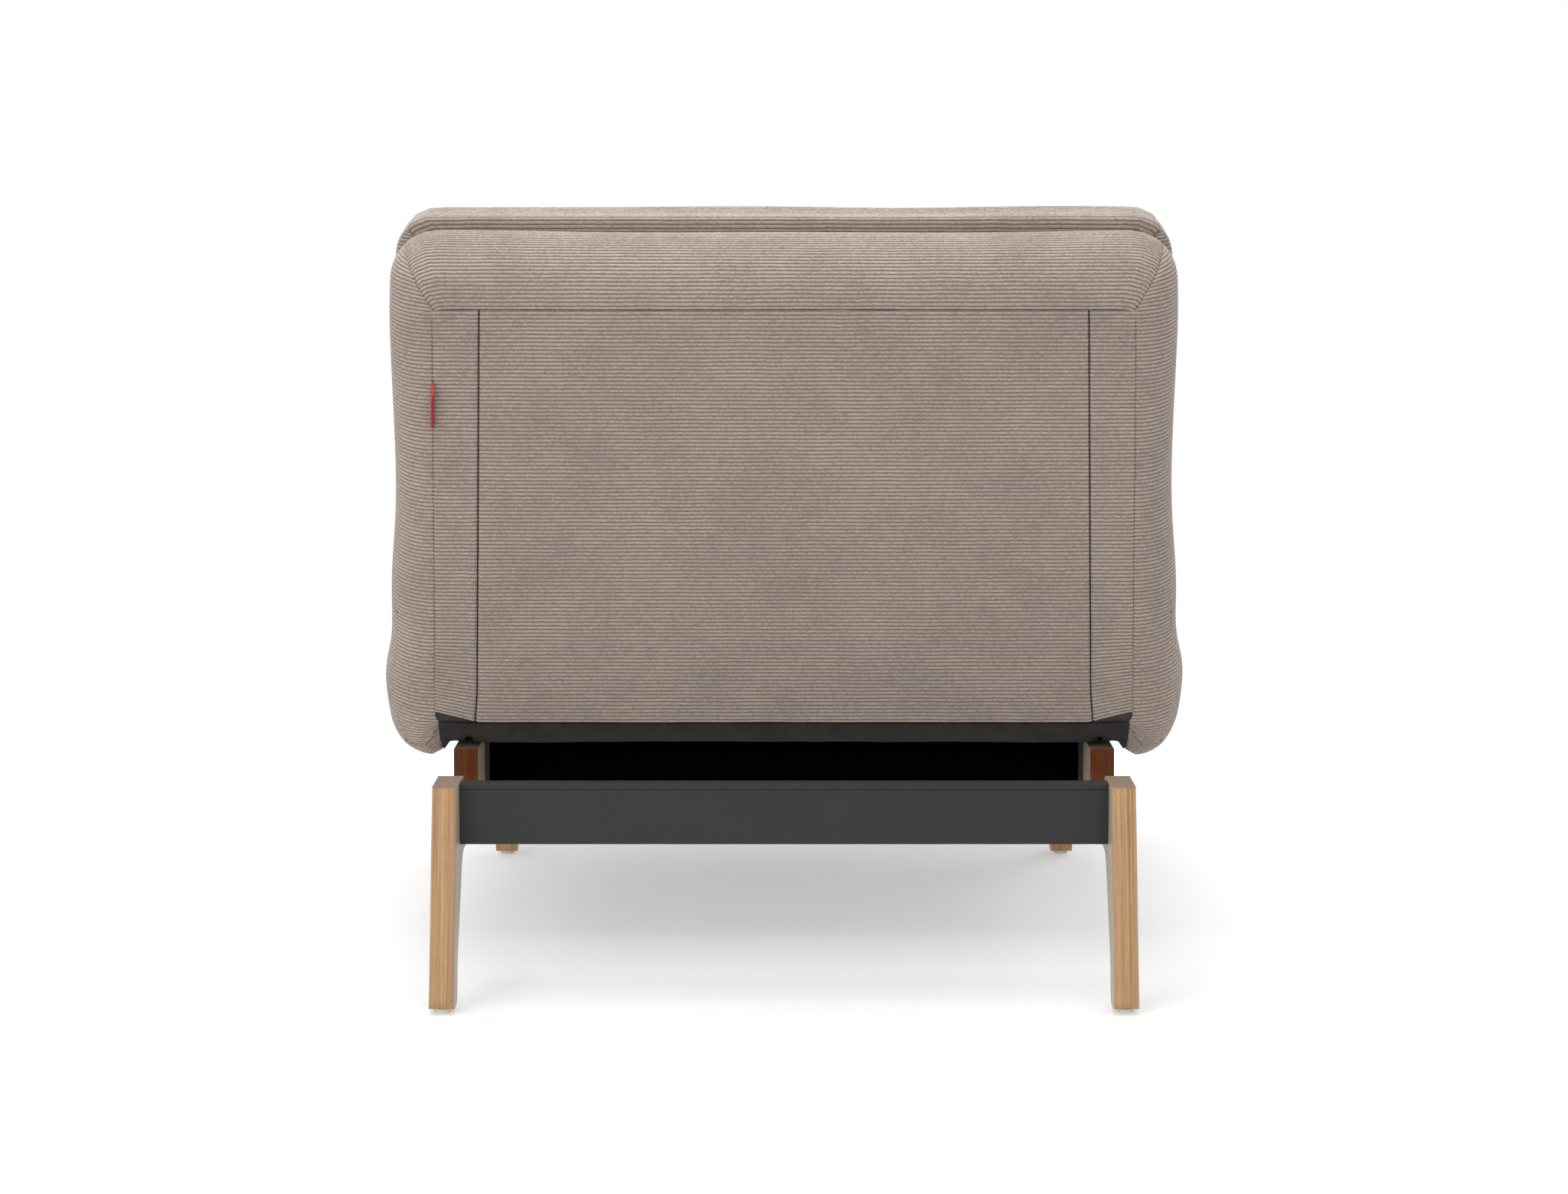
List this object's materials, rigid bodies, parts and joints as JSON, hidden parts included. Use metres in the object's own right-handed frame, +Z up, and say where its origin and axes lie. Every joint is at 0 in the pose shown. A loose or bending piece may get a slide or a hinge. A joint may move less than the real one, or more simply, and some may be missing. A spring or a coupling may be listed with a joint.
{
  "type": "reclining armchair",
  "caption": "Upholstered armchair with oak side frames and a ratchet backrest that folds flat level with the seat.",
  "frame": {"origin": "middle of the underside of the whole chair's box, on the floor", "axes": "+Z up, -Y the way the sitter faces, +X the sitter's left"},
  "size_m": [0.9248, 0.9474, 0.8699],
  "materials": {
    "oak": "matt lacquered bent oak",
    "black_steel": "satin charcoal powder coat",
    "bare_steel": "zinc-plated steel",
    "corduroy": "taupe ribbed corduroy",
    "foam": "upholstery foam",
    "black_lining": "black nonwoven lining",
    "birch": "plain laminated slat",
    "black_plastic": "moulded cap",
    "pale_plastic": "translucent glide",
    "red_ribbon": "bare woven ribbon"
  },
  "bodies": {
    "base": {"side_frame_left": "oak", "side_frame_right": "oak", "rear_rail": "black_steel", "mid_rail": "black_steel", "front_rail": "black_steel", "side_plate_left": "black_steel", "side_plate_right": "black_steel", "floor_glides": "pale_plastic", "frame_bolts": "bare_steel", "seat_side_tubes": "black_steel", "seat_cross_tubes": "black_steel", "seat_slats": "birch", "seat_slat_holders": "black_plastic", "seat_lining": "black_lining", "seat_core": "foam", "seat_cover": "corduroy", "hinge_bracket_left": "black_steel", "hinge_bracket_right": "black_steel", "bracket_bolts": "bare_steel"},
    "backrest": {"back_side_tubes": "black_steel", "back_cross_tubes": "black_steel", "back_slats": "birch", "back_slat_holders": "black_plastic", "back_core": "foam", "back_casing": "corduroy", "back_lining": "black_lining", "pad_core": "foam", "pad_cover": "corduroy", "label_tab": "red_ribbon", "hinge_arm_left": "black_steel", "hinge_arm_right": "black_steel", "hinge_pins": "bare_steel", "arm_bolts": "bare_steel", "pawl_pins": "bare_steel"},
    "left_pawl": {"pawl_left": "bare_steel"},
    "right_pawl": {"pawl_right": "bare_steel"}
  },
  "joints": [
    {"name": "back_recline", "type": "hinge", "parent": "base", "child": "backrest", "pos_m": [0, 0.16465, 0.301], "axis": [-1, 0, 0], "range_deg": [-3, 78]},
    {"name": "left_pawl_lift", "type": "hinge", "parent": "backrest", "child": "left_pawl", "pos_m": [0.369, 0.15282, 0.36077], "axis": [1, 0, 0], "range_deg": [0, 14], "stiffness_Nm_per_rad": 0.2, "springref_deg": -28.65},
    {"name": "right_pawl_lift", "type": "hinge", "parent": "backrest", "child": "right_pawl", "pos_m": [-0.369, 0.15282, 0.36077], "axis": [1, 0, 0], "range_deg": [0, 14], "stiffness_Nm_per_rad": 0.2, "springref_deg": -28.65}
  ]
}
